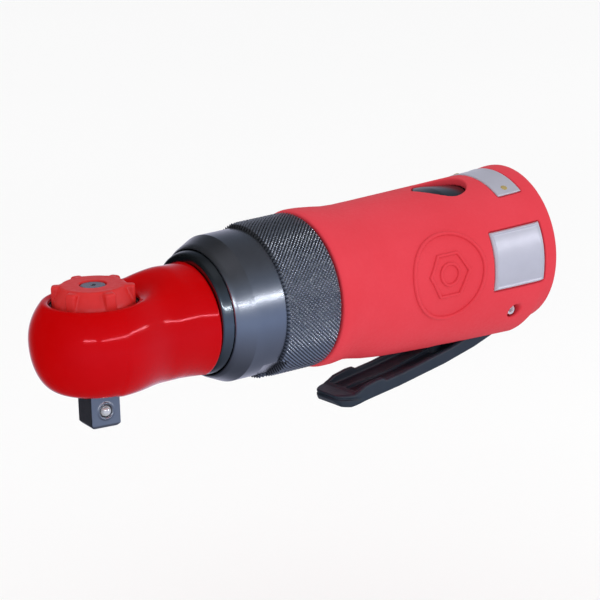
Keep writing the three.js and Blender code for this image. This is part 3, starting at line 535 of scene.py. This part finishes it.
def anvil(x, y, z):
    """The drive square and its journal, flange and top, with the fork's slot and the ball's staked hole."""
    across = smooth_max(np.abs(x), np.abs(y), 0.5) - SQUARE_HALF
    end = smooth_max(-(z + LIFT), (across + 0.9 - (z + LIFT)) / math.sqrt(2), 0.25)
    square = smooth_max(smooth_max(across, end, 0.25), z + 15, 0.2)
    out = np.hypot(x, y)
    journal = smooth_max(out - 8, np.maximum(-15.2 - z, z + 7.9), 0.5)
    flange = np.maximum(out - 9.2, np.maximum(-8 - z, z - 4))
    top = np.maximum(out - 7.2, np.maximum(3.9 - z, z - 6.7))
    whole = np.minimum(np.minimum(square, journal), np.minimum(flange, top))
    from_ball = np.hypot(x, z - BALL_Z)
    stake = np.hypot(from_ball - 2.45, y + 4.7) - 0.32
    whole = smooth_min(whole, stake, 0.25)
    whole = carve(whole, np.maximum(from_ball - 1.95, y - 2.4), 0.15)
    whole = carve(whole, np.maximum(out - 2.9, -3.4 - z), 0.1)
    slot_box = np.maximum(np.maximum(2.2 - x, np.abs(y) - 8.3), np.abs(z) - 3.4)
    pin_hole = np.maximum(np.hypot(x - 5, y) - 1.5, -7.3 - z)
    return carve(carve(whole, slot_box, 0.1), pin_hole, 0.1)


filled("drive_anvil", anvil, (-9.6, -9.6, -27.8), (9.6, 9.6, 7), 0.22,
       "anvil", "black_oxide", ["ratchet_anvil"], DRIVE_TWIST)


def detent(x, y, z):
    """The ball in the drive square's near face."""
    return np.sqrt(x * x + (y - BALL_Y) ** 2 + (z - BALL_Z) ** 2) - BALL_RADIUS


filled("detent_bearing_ball", detent, (-2, -6.2, -24), (2, -2, -20), 0.16,
       "detent_ball", "bright_steel", ["detent_ball"], DRIVE_TWIST)

# ------------------------------------------------------------------------------- ring and collar

# A finely turned skin over the housing's ring, a hair outside it.
turned("housing_ring", [
    (33.62, 16), (33.62, 17.4), (33.68, 17.72), (33.9, 18.08), (34.3, 18.42), (34.8, 18.64),
    (35.6, 18.86), (36.6, 19.04), (37.2, 19.12), (38, 19.14), (40.45, 19.14), (40.45, 18.6), (34.5, 16),
], "housing", "dark_steel", sides=160, finish="polished_ring")

FLATS = (math.radians(-122), math.radians(58))
FLAT_FRONT, FLAT_BACK, FLAT_RADIUS = 48.9, 57.1, 21.9


def triangle(t):
    """A wave from 0 up to 1 and back over each whole step of t."""
    return 1 - np.abs(2 * (t % 1) - 1)


def collar_radius(along, radius, turn):
    """The clamp collar's outside: two spanner flats, and diamonds that rise from a ragged edge."""
    outside = radius > 22.65
    lead = np.minimum(COLLAR_RADIUS + 1.7 * (along - KNURL_START), 22.9 + 1.5 * (COLLAR_END - along))
    around = KNURLS * turn / (2 * math.pi)
    row = along / KNURL_PITCH
    diamond = np.minimum(triangle(around + row), triangle(around - row))
    crest = CREST_RADIUS - KNURL_DEPTH * (1 - diamond)
    made = np.where(outside, np.minimum(crest, lead), radius)
    for centre in FLATS:
        off = (turn - centre + math.pi) % (2 * math.pi) - math.pi
        flat = FLAT_RADIUS / np.maximum(np.cos(off), 0.2)
        near = (np.abs(off) < 0.3) & (along > FLAT_FRONT) & (along < FLAT_BACK) & (radius > 21.5)
        made = np.where(near, np.minimum(made, flat), made)
    return made


turned("collar_sleeve", [
    (37.0, 19.4), (37.0, 19.45), (37.15, 19.75), (37.5, 20.05), (38.2, 20.5), (38.5, 20.63),
    (43.0, COLLAR_RADIUS), (43.2, COLLAR_RADIUS), (48.8, COLLAR_RADIUS), (48.95, COLLAR_RADIUS),
    (50, COLLAR_RADIUS), (52, COLLAR_RADIUS), (KNURL_START, COLLAR_RADIUS), (KNURL_START, COLLAR_BORE),
    (43.8, COLLAR_BORE), (43.8, 20.5), (40.1, 20.5), (40.1, 19.4),
], "housing", "dark_steel", sides=256, replaced=["clamp_collar"], shape=collar_radius, sharp=15)
knurled_rows = [(x, 23) for x in np.arange(KNURL_START, COLLAR_END - 0.01, 0.1625)]
turned("collar_knurl", knurled_rows + [(COLLAR_END, 23), (COLLAR_END, 20.9), (KNURL_START, 20.9)],
       "housing", "dark_steel", sides=KNURLS * 8, shape=collar_radius, sharp=None, finish="knurled_steel")

# ------------------------------------------------------------------------------------------ grip


def eased_sections():
    """The grip's three reaches along x, with the corners between stations rounded."""
    x = np.arange(GRIP_FRONT - 6, GRIP_REAR + 6, 0.25)
    window = np.exp(-0.5 * (np.arange(-8, 9) * 0.25 / 0.55) ** 2)
    window /= window.sum()
    eased = []
    for column in (1, 2, 3):
        reach = np.interp(x, GRIP_SECTIONS[:, 0], GRIP_SECTIONS[:, column])
        eased.append(np.convolve(np.pad(reach, 8, mode="edge"), window, mode="valid"))
    return x, eased


STATIONS, REACHES = eased_sections()


def reach(x):
    """How far the grip reaches above, beside and below the axis at x."""
    return [np.interp(x, STATIONS, r) for r in REACHES]


def skin(x, angle, lift=0.0):
    """A point on the grip at x. The angle runs from -Y up over the top."""
    above, beside, below = reach(x)
    high = np.where(np.sin(angle) > 0, above, below)
    return np.stack([x + 0 * angle, -(beside + lift) * np.cos(angle), (high + lift) * np.sin(angle)], -1)


def port_half(x, inset=0.0):
    """Half the port's width at x: pointed in front, round behind."""
    half = PORT_HALF - inset
    t = np.linspace(0, 1, 40)
    along = (1 - t) ** 2 * (PORT_FRONT + 2 * inset) + 2 * t * (1 - t) * (PORT_FRONT + 7) + t**2 * PORT_ROUND
    width = half * (2 * t * (1 - t) + t**2)
    front = np.interp(x, along, width, left=-3)
    past = np.abs(x - PORT_ROUND)
    behind = np.sqrt(np.maximum(half**2 - past**2, 0)) - np.maximum(past - half, 0)
    return np.where(x < PORT_ROUND, front, behind)


def panel(u, v, half_u, half_v, corner):
    """Distance to a rectangle with rounded corners."""
    du, dv = np.abs(u) - half_u + corner, np.abs(v) - half_v + corner
    return np.hypot(np.maximum(du, 0), np.maximum(dv, 0)) + np.minimum(np.maximum(du, dv), 0) - corner


def grip(x, y, z):
    """The moulded grip: recesses for both plates, the port, the lever's slot and the pin's countersinks."""
    above, beside, below = reach(x)
    high = np.where(z > 0, above, below)
    outside = ellipse_distance(y, z, beside, high)
    angle = np.arctan2(z / high, -y / beside)
    whole = smooth_max(smooth_max(outside, x - GRIP_REAR, 1.3), GRIP_FRONT - x, 0.4)
    side_room = panel(x - 142.1, (angle - math.radians(6.5)) * 24.6, 10.15, 9.75, 0.8)
    whole = carve(whole, np.maximum(side_room, -(outside + 0.95)), 0.3)
    name_room = panel(x - 147, (angle - math.radians(88)) * 24.2, 4.8, 14, 0.6)
    whole = carve(whole, np.maximum(name_room, -(outside + 0.6)), 0.3)
    whole = carve(whole, np.hypot(y, z) - GRIP_BORE, 0.2)
    whole = carve(whole, np.maximum((np.abs(y - PORT_MIDDLE) - port_half(x)) * 0.85, 8 - z), 0.9)
    slot = panel(x - 134.4, y, 15.4, 9.1, 1.5)
    whole = carve(whole, np.maximum(slot, z + 13), 0.8)
    return carve(whole, np.hypot(x - PIN_X, z - PIN_Z) - 2.3, 0.9)


filled("grip_moulding", grip, (73.5, -25.8, -29.6), (158.4, 25.8, 25.4), 0.42,
       "housing", "red_rubber", ["grip_sleeve"])


# The emblem: a ring round a plain hexagon nut, moulded on the near side.
EMBLEM_X, EMBLEM_ANGLE, EMBLEM_LIFT = 114.5, math.radians(4.5), 0.12
NUT_CORNER = 7.4


def on_side(u, v):
    return skin(EMBLEM_X + u, EMBLEM_ANGLE + v / 24.3, EMBLEM_LIFT)


around = np.linspace(0, 2 * math.pi, 144, endpoint=False)
for label, radius, thick in (("outer", 13.4, 0.6), ("centre", 3.4, 0.5)):
    circle = on_side(radius * np.cos(around), radius * np.sin(around))
    bead("emblem_ring_" + label, circle, thick, "housing", "red_rubber")
nut = NUT_CORNER * math.cos(math.pi / 6) / np.cos((around % (math.pi / 3)) - math.pi / 6)
bead("emblem_hexagon", on_side(nut * np.cos(around), nut * np.sin(around)), 0.5, "housing", "red_rubber")


def bent_plate(name, x_range, angles, lifts, slot, replaced, rim):
    """A thin plate bent round the grip, with a raised rim."""
    rows, columns = 60, 60
    u, v = np.meshgrid(np.linspace(-1, 1, rows), np.linspace(-1, 1, columns), indexing="ij")
    u, v = (np.sign(s) * (1 - (1 - np.abs(s)) ** 1.6) for s in (u, v))  # finer towards the edges
    half_x = (x_range[1] - x_range[0]) / 2
    half_angle = math.radians(angles[1] - angles[0]) / 2
    x = sum(x_range) / 2 + half_x * u
    angle = math.radians(sum(angles) / 2) + half_angle * v
    edge = np.minimum((1 - np.abs(u)) * half_x, (1 - np.abs(v)) * half_angle * 24.5)
    raised = np.exp(-(((edge - 0.62) / 0.3) ** 2))
    fall = np.clip(1 - edge / 0.3, 0, 1) ** 2
    top = skin(x.ravel(), angle.ravel(), (lifts[1] + rim * raised - 0.25 * fall).ravel())
    bottom = skin(x.ravel(), angle.ravel(), np.full(x.size, lifts[0]))
    faces = sheet_faces(rows, columns)
    count = rows * columns
    border = list(range(columns)) + [(i + 1) * columns - 1 for i in range(1, rows)]
    border += [count - 2 - i for i in range(columns - 1)]
    border += [(rows - 2 - i) * columns for i in range(rows - 2)]
    walls = [[a, b, b + count, a + count] for a, b in zip(border, border[1:] + border[:1])]
    all_faces = faces.tolist() + (faces[:, ::-1] + count).tolist() + [w[::-1] for w in walls]
    return mesh_piece(name, np.concatenate([top, bottom]), all_faces, "housing", slot, replaced, sharp=50)


bent_plate("flank_plate", (132.3, 151.9), (-15.2, 28.2), (-0.65, -0.1), "plate_metal", ["side_plate"], 0.42)
bent_plate("rear_plate", (142.5, 151.5), (56, 120), (-0.35, 0.14), "plate_metal", ["name_plate"], 0.05)

RIVET_X, RIVET_FOOT = 0.1469, 21.6
RIVET_HEAD = [(0, 0.02), (0, 0.9), (1.9, 0.9), (2.2, 1.25), (2.5, 1.28), (2.75, 1.15), (2.95, 0.8),
              (3.02, 0.4), (3.04, 0.02)]
# The far rivet is driven home, so it stands lower.
for number, lean, foot in ((1, -31.5, RIVET_FOOT), (2, 29, RIVET_FOOT - 0.4)):
    profile = [(foot + along, radius) for along, radius in RIVET_HEAD]
    made = turned("rivet_head_%d" % number, profile, "housing", "brass", axis="z", sides=32,
                  replaced=["name_plate_rivet_%d" % number])
    to_axis = Matrix.Translation((0, 0, -LIFT / 1000))
    back = Matrix.Translation((RIVET_X, 0, LIFT / 1000))
    made.data.transform(back @ Matrix.Rotation(math.radians(lean), 4, "X") @ to_axis)

# -------------------------------------------------------------------------- metal under the port


def port_ramp():
    """The housing as seen through the port, flush in front and falling away behind."""
    rows, columns = 70, 30
    x = np.linspace(PORT_FRONT + 0.9, PORT_ROUND + PORT_HALF - 0.45, rows)
    width = np.maximum(port_half(x, 0.35), 0.02)
    share = np.linspace(-1, 1, columns)
    y = PORT_MIDDLE + np.outer(width, share)
    radius = np.interp(x, [118, 122, 127, 132, 138], [22.56, 22.5, 22.3, 21.7, 20.9])[:, None]
    z = np.sqrt(radius**2 - y**2)
    points = np.stack([np.repeat(x[:, None], columns, 1), y, z], -1).reshape(-1, 3)
    faces = sheet_faces(rows, columns)[:, ::-1]
    # Its finish is the darker copy of the plated steel, painted shade for the metal down in the port.
    made = mesh_piece("port_metal", points, faces, "housing", "dark_steel", sharp=60, finish="port_steel")
    thick = made.modifiers.new("thick", "SOLIDIFY")
    thick.thickness = 0.0002
    thick.offset = -1
    return made


port_ramp()

# ----------------------------------------------------------------------------- lever and its pin

# Outlines in the XZ plane. UNDERSIDE, EYE and TOP join into the lever's side view.
UNDERSIDE = [(83.4, -37.1), (85, -39), (87.6, -39.3), (93, -38.1), (106, -36.1), (124, -32.6),
             (136, -29.5), (146, -26)]
TOP = [(136.5, -19), (133, -25.7), (126.6, -27.6), (107.5, -31.7), (100.9, -32.7), (99.4, -31.9),
       (97, -32.1), (92.3, -33.2), (90.4, -34.3), (88.4, -35.1), (83.4, -35.3)]
EYE = [(PIN_X + 4.6 * math.cos(a), PIN_Z + 4.6 * math.sin(a)) for a in np.radians(np.arange(-15, 178, 16))]
CHANNEL = [(90, -36.2), (96, -35.4), (109, -33.4), (127, -29.9), (139, -26.8), (140.5, -22),
           (160, -20), (160, 0), (90, 0)]
RIB = [(88, -37.4), (93, -36), (106, -34.4), (124, -30.6), (136, -27.4), (134, -26.4),
       (126.6, -28.6), (107.5, -32.9), (92, -34.6), (88, -35.3)]


def flat_field(corners):
    """A polygon's distance sampled once on a fine grid, for quick reading."""
    x = np.arange(80, 152, 0.1)
    z = np.arange(-42, -8, 0.1)
    table = polygon_distance(*np.meshgrid(x, z, indexing="ij"), np.array(corners))

    def read(at_x, at_z):
        i = np.clip((at_x - x[0]) / 0.1, 0, len(x) - 1.001)
        k = np.clip((at_z - z[0]) / 0.1, 0, len(z) - 1.001)
        i0, k0 = i.astype(int), k.astype(int)
        right, up = i - i0, k - k0
        low = table[i0, k0] * (1 - up) + table[i0, k0 + 1] * up
        high = table[i0 + 1, k0] * (1 - up) + table[i0 + 1, k0 + 1] * up
        return low * (1 - right) + high * right

    return read


lever_side, lever_channel, lever_rib = (flat_field(c) for c in (UNDERSIDE + EYE + TOP, CHANNEL, RIB))


def lever(x, y, z):
    """A hollow lever with a rounded nose, a parting seam, a rib down its channel and a pad for the stem."""
    nose = np.clip((x - LEVER_TIP) / 7.6, 0, 1)
    width = 3.5 + (LEVER_HALF - 3.5) * np.sqrt(1 - (1 - nose) ** 2)
    plan = (np.abs(y) - width) * 0.85
    whole = smooth_max(lever_side(x, z), plan, 0.9)
    seam = np.abs(z + 36.4 + 0.05 * (x - 84)) - 0.3
    whole = carve(whole, np.maximum(seam, -(whole + 0.5 * np.clip((92 - x) / 5, -1, 1))), 0.25)
    inner = LEVER_HALF - LEVER_WALL
    whole = carve(whole, smooth_max(lever_channel(x, z), np.abs(y) - inner, 0.6), 0.5)
    whole = smooth_min(whole, np.maximum(lever_rib(x, z), np.abs(y) - 0.5), 0.5)
    pad = np.maximum(np.hypot(x - 126, y) - 2.4, np.maximum(z + 27.9, -31.5 - z))
    whole = smooth_min(whole, pad, 0.3)
    return carve(whole, np.hypot(x - PIN_X, z - PIN_Z) - 1.75, 0.3)


filled("lever_moulding", lever, (82.8, -9.4, -40), (148.4, 9.4, -11), 0.3,
       "lever", "slate_plastic", ["throttle_lever"])
turned("pivot_pin", [
    (-18.4, 0.95), (-18.4, 1.45), (-18.2, 1.6), (18.2, 1.6), (18.4, 1.45), (18.4, 0.95),
    (18.2, 0.85), (-18.2, 0.85),
], "housing", "bright_steel", axis="y", sides=40, move=(PIN_X, 0, PIN_Z), replaced=["lever_pin"])

# -------------------------------------------------------------------------------------- rear end


THREAD_PITCH = 1.34


def inlet(x, y, z):
    """The inlet bushing: a chamfered hexagon on a sleeve, with a tapped bore and a countersunk mouth."""
    out = np.hypot(y, z)
    hexagon = hexagon_reach(y, z, 30) - 8.31
    collar = smooth_max(hexagon, (out - 9.0 + (x - 159.9)) / 1.41, 0.3)
    collar = smooth_max(collar, np.maximum(158.1 - x, x - 160.8), 0.2)
    sleeve = np.maximum(out - 9, np.maximum(143.8 - x, x - 158.6))
    turn = np.arctan2(z, y) / (2 * math.pi)
    threaded = np.clip((160.4 - x) / 0.8, 0, 1) * np.clip((x - 149) / 0.8, 0, 1)
    thread = 0.45 * triangle(x / THREAD_PITCH - turn) * threaded
    bore = np.maximum((out - 5.75 - 0.1 + thread) * 0.8, 146 - x)
    step = np.maximum(out - 3.6, 143 - x)
    mouth = (out - 6.6 + (160.8 - x)) / 1.41
    bored = carve(carve(np.minimum(collar, sleeve), bore, 0.1), step, 0.1)
    return carve(bored, np.maximum(mouth, 158 - x), 0.1)


filled("inlet_hexagon", inlet, (143.4, -10, -10), (161.2, 10, 10), 0.22,
       "housing", "black_oxide", ["inlet_bushing"])


def deflector(x, y, z):
    """A flat ring with ten rounded exhaust slots."""
    out = np.hypot(y, z)
    whole = smooth_max(smooth_max(np.maximum(out - 20.5, 9.8 - out), x - 157.2, 0.5), 153.3 - x, 0.2)
    pitch = math.pi / 5
    turn = (np.arctan2(y, z) + pitch / 2) % pitch - pitch / 2
    slot = panel(out * np.cos(turn) - 14.8, out * np.sin(turn), 2.6, 1.3, 1.25)
    return carve(whole, slot, 0.35)


filled("exhaust_grille", deflector, (152.8, -21, -21), (157.7, 21, 21), 0.3,
       "housing", "black_plastic", ["exhaust_deflector"])

# ----------------------------------------------------------------------- floor, light and camera


FLOOR_HALF, FLOOR_DROP = 6.0, 0.09  # metres


def floor():
    """A plain pale sweep, a little below the tool."""
    low = cad_low.z - FLOOR_DROP
    corners = [(x * FLOOR_HALF, y * FLOOR_HALF, low) for x, y in ((-1, -1), (1, -1), (1, 1), (-1, 1))]
    mesh = bpy.data.meshes.new("floor")
    mesh.from_pydata(corners, [], [(0, 1, 2, 3)])
    t = Tree("pale_floor")
    t.set(Base_Color=t.shades(t.noise(3), (0.94, 0.94, 0.94), (0.95, 0.95, 0.95)))
    t.set(Roughness=0.9, Specular_IOR_Level=0.1)
    mesh.materials.append(t.material)
    made = bpy.data.objects.new("floor", mesh)
    bpy.context.scene.collection.objects.link(made)
    made.visible_glossy = False  # the object mirrors the dark studio, not the sweep it floats over


def lamp(name, place, target, width, height, power):
    light = bpy.data.lights.new(name, "AREA")
    light.shape = "RECTANGLE"
    light.size, light.size_y = width, height
    light.energy = power
    made = bpy.data.objects.new(name, light)
    bpy.context.scene.collection.objects.link(made)
    made.location = place
    made.rotation_mode = "QUATERNION"
    made.rotation_quaternion = (Vector(target) - Vector(place)).to_track_quat("-Z", "Y")


# The dark room's brightness by height, from straight down (-1) to straight up (1).
ROOM_SHADES = [
    (-1.0, (0.14, 0.15, 0.19)), (-0.8, (0.20, 0.22, 0.29)), (-0.27, (0.30, 0.37, 0.54)),
    (0.12, (0.26, 0.31, 0.42)), (0.54, (0.14, 0.17, 0.22)), (0.73, (0.10, 0.11, 0.13)),
    (0.85, (0.06, 0.062, 0.07)), (1.0, (0.12, 0.12, 0.13)),
]
LIT_SIDE = (0.5, -0.85, 0)  # the room falls off into the dark away from here
FAR_WALL = (0.563, 0.781, -0.27)
FAR_WALL_COLOUR, FAR_WALL_GLOW, FAR_WALL_SPREAD = (1.0, 0.96, 1.12), 0.65, 8.0
DAYLIGHT, BACKDROP = 1.0, 0.97  # strength of the white tent on matt surfaces, and as the eye sees it


def studio():
    """An even white tent to the eye and to matt surfaces; to mirrors, a dark room with a lit far wall."""
    world = bpy.data.worlds.new("studio")
    bpy.context.scene.world = world
    world.use_nodes = True
    nodes, links = world.node_tree.nodes, world.node_tree.links
    nodes.clear()

    def node(kind, *values, **settings):
        """A node with its first inputs linked or set, in order."""
        made = nodes.new("ShaderNode" + kind)
        for key, value in settings.items():
            setattr(made, key, value)
        for socket, value in zip(made.inputs, values):
            if isinstance(value, bpy.types.NodeSocket):
                links.new(value, socket)
            else:
                socket.default_value = value
        return made

    def math_node(operation, *values):
        return node("Math", *values, operation=operation).outputs[0]

    def lean(direction):
        return node("VectorMath", where, direction, operation="DOT_PRODUCT").outputs["Value"]

    def scaled(colour, strength):
        made = node("VectorMath", colour, operation="SCALE")
        links.new(strength, made.inputs["Scale"])
        return made.outputs[0]

    where = node("TexCoord").outputs["Generated"]
    # What mirrors see: bluish below the eye line, dark overhead and to the left, a pale wall behind.
    height = node("ValToRGB", math_node("MULTIPLY_ADD", lean((0, 0, 1)), 0.5, 0.5))
    for _ in ROOM_SHADES[2:]:
        height.color_ramp.elements.new(0.5)
    for element, (level, colour) in zip(height.color_ramp.elements, ROOM_SHADES):
        element.position = level / 2 + 0.5
        element.color = (*colour, 1)
    side = node("MapRange", lean(LIT_SIDE), -0.95, 0.45, 0.02, 1.0, interpolation_type="SMOOTHSTEP")
    room = scaled(height.outputs["Color"], side.outputs["Result"])
    facing = math_node("MAXIMUM", lean(FAR_WALL), 0.0)
    glow = math_node("MULTIPLY", math_node("POWER", facing, FAR_WALL_SPREAD), FAR_WALL_GLOW)
    mirrored = node("VectorMath", room, scaled(FAR_WALL_COLOUR, glow), operation="ADD").outputs[0]
    paths = node("LightPath").outputs
    matt = node("Background", (1, 1, 1, 1), DAYLIGHT).outputs[0]
    mirror = node("Background", mirrored, 1.0).outputs[0]
    backdrop = node("Background", (1, 1, 1, 1), BACKDROP).outputs[0]
    lighting = node("MixShader", paths["Is Glossy Ray"], matt, mirror).outputs[0]
    node("OutputWorld", node("MixShader", paths["Is Camera Ray"], lighting, backdrop).outputs[0])


def camera():
    """The camera: a long lens from the front left, a little above, leaning by two degrees."""
    data = bpy.data.cameras.new("camera")
    data.sensor_width, data.lens = 36, 234.7
    data.clip_end = 20
    made = bpy.data.objects.new("camera", data)
    bpy.context.scene.collection.objects.link(made)
    place, target, lean = Vector((-0.59916, -0.93654, 0.35295)), Vector((0.07495, 0, 0.0236)), -0.0374
    ahead = (target - place).normalized()
    right = ahead.cross(Vector((0, 0, 1))).normalized()
    up = right.cross(ahead)
    side = math.cos(lean) * right + math.sin(lean) * up
    top = -math.sin(lean) * right + math.cos(lean) * up
    turned_to = Matrix((side, top, -ahead)).transposed()
    made.matrix_world = Matrix.Translation(place) @ turned_to.to_4x4()
    bpy.context.scene.camera = made


floor()
studio()
middle = Vector((0.06, 0, 0.025))
# Thin tubes of light round the camera's side of the object, a little above it, with gaps between.
TUBE_RISE, TUBE_DISTANCE, TUBE_WIDTH = math.radians(14), 1.5, 0.03
for number, (heading, span, power) in enumerate(((-134, 20, 1.5), (-95, 36, 2), (-53, 38, 2.25))):
    turn = math.radians(heading)
    level = math.cos(TUBE_RISE)
    away = Vector((level * math.cos(turn), level * math.sin(turn), math.sin(TUBE_RISE)))
    length = 2 * TUBE_DISTANCE * math.tan(math.radians(span) / 2)
    lamp("tube_%d" % number, middle + TUBE_DISTANCE * away, middle, length, TUBE_WIDTH, power)
camera()
bpy.context.scene.view_settings.view_transform = "Standard"
